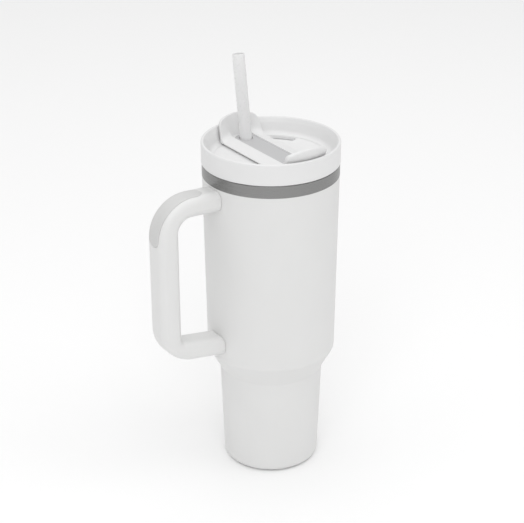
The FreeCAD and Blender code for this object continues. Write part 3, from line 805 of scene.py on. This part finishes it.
bar_plastic = moulded("bar_plastic", (0.765, 0.765, 0.765), (0.785, 0.785, 0.785),
                      roughness=0.38, grain_scale=2600.0, grain_depth=0.000015)
turn_bar.data.materials.clear()
turn_bar.data.materials.append(bar_plastic)
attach(turn_bar, "cover")
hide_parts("turn_bar")
dress("channel_insert", moulded("insert_plastic", (0.50, 0.50, 0.505), (0.53, 0.53, 0.535),
                                roughness=0.34, grain_scale=2600.0, grain_depth=0.000008))


# Cover pivot -----------------------------------------------------------------------------------
# A plain plastic washer under the fixed floor and a steel screw through it, up into the bar.
# They clamp the disc's hub so that the cover turns but does not lift.
dress("pivot_washer", moulded("washer_plastic", (0.60, 0.60, 0.60), (0.64, 0.64, 0.64),
                              roughness=0.45, grain_scale=1500.0, grain_depth=0.00002))
dress("pivot_screw", screw_steel)


# Straw -----------------------------------------------------------------------------------------
# An extruded tube in slightly milky plastic, cut square and flame polished at the lip. It stands
# loose in the cover's hole and leans outwards.
straw_wall = 0.8
straw_foot_z = 9.2
straw_above_rim = 51.5
straw_length = (rim_high[2] + straw_above_rim - straw_foot_z) / math.cos(straw_lean)
straw_foot = np.array([0.0, straw_base_y, channel_z])
straw_foot = straw_foot - straw_axis * ((channel_z - straw_foot_z) / math.cos(straw_lean))
straw_outline = rounded_path([(straw_r, 0.0, 0.3), (straw_r, straw_length, 0.35),
                              (straw_r - straw_wall, straw_length, 0.35),
                              (straw_r - straw_wall, 0.0, 0.3)], closed=True, arc_cells=6)
straw = skin("straw_tube", ring(straw_outline, spokes=96, foot=straw_foot, axis=straw_axis))
straw.data.materials.append(moulded("straw_plastic", (0.80, 0.80, 0.80), (0.82, 0.82, 0.82),
                                    roughness=0.3, grain_scale=500.0, grain_depth=0.00001,
                                    Subsurface_Weight=0.25, Subsurface_Scale=0.003,
                                    Subsurface_Radius=(1.0, 1.0, 1.0)))
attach(straw, "straw")
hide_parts("straw")


# Studio ----------------------------------------------------------------------------------------
# A wide pale floor, an even bright room, and soft lights in front, at the side and overhead.
scene = bpy.context.scene
scene.view_settings.view_transform = "Standard"
camera_data = bpy.data.cameras.new("camera")
camera_data.sensor_width = 36.0
camera_data.lens = 101.3
camera_data.shift_x = -0.0171
camera_data.clip_start = 0.05
camera = bpy.data.objects.new("camera", camera_data)
camera.location = (-0.5432, -0.7964, 0.6154)
camera.rotation_euler = (math.radians(90.0 - 25.39), 0.0, math.radians(-34.3))
scene.collection.objects.link(camera)
scene.camera = camera

room = bpy.data.worlds.new("room")
room.use_nodes = True
room.node_tree.nodes["Background"].inputs["Color"].default_value = (1.0, 1.0, 1.0, 1.0)
room.node_tree.nodes["Background"].inputs["Strength"].default_value = 0.62
scene.world = room


def softbox(name, place, aim, width, height, power):
    """A rectangular area light at a place, turned to face a point."""
    data = bpy.data.lights.new(name, "AREA")
    data.shape = "RECTANGLE"
    data.size = width
    data.size_y = height
    data.energy = power
    light = bpy.data.objects.new(name, data)
    direction = np.array(aim) - np.array(place)
    pitch = math.atan2(math.hypot(direction[0], direction[1]), -direction[2])
    heading = math.atan2(direction[1], direction[0]) - math.pi / 2.0
    light.location = place
    light.rotation_euler = (pitch, 0.0, heading)
    scene.collection.objects.link(light)
    return light


softbox("front_softbox", (-0.99, -1.3, 1.6), (0.0, 0.0, 0.15), 1.4, 1.2, 10.5)
softbox("side_softbox", (1.0, -1.1, 1.9), (0.0, 0.0, 0.15), 1.2, 1.2, 4.0)
softbox("ceiling_softbox", (-0.1, 0.2, 2.6), (0.0, 0.0, 0.0), 3.4, 3.4, 27.0)

floor_mesh = bpy.data.meshes.new("floor")
floor_mesh.from_pydata([(-4, -4, 0), (4, -4, 0), (4, 4, 0), (-4, 4, 0)], [], [(0, 1, 2, 3)])
floor = bpy.data.objects.new("floor", floor_mesh)
scene.collection.objects.link(floor)
floor_paint, floor_shader, _ = bare_material("floor_paint", 0.9)
floor_shader.inputs["Base Color"].default_value = (0.97, 0.97, 0.97, 1.0)
floor.data.materials.append(floor_paint)
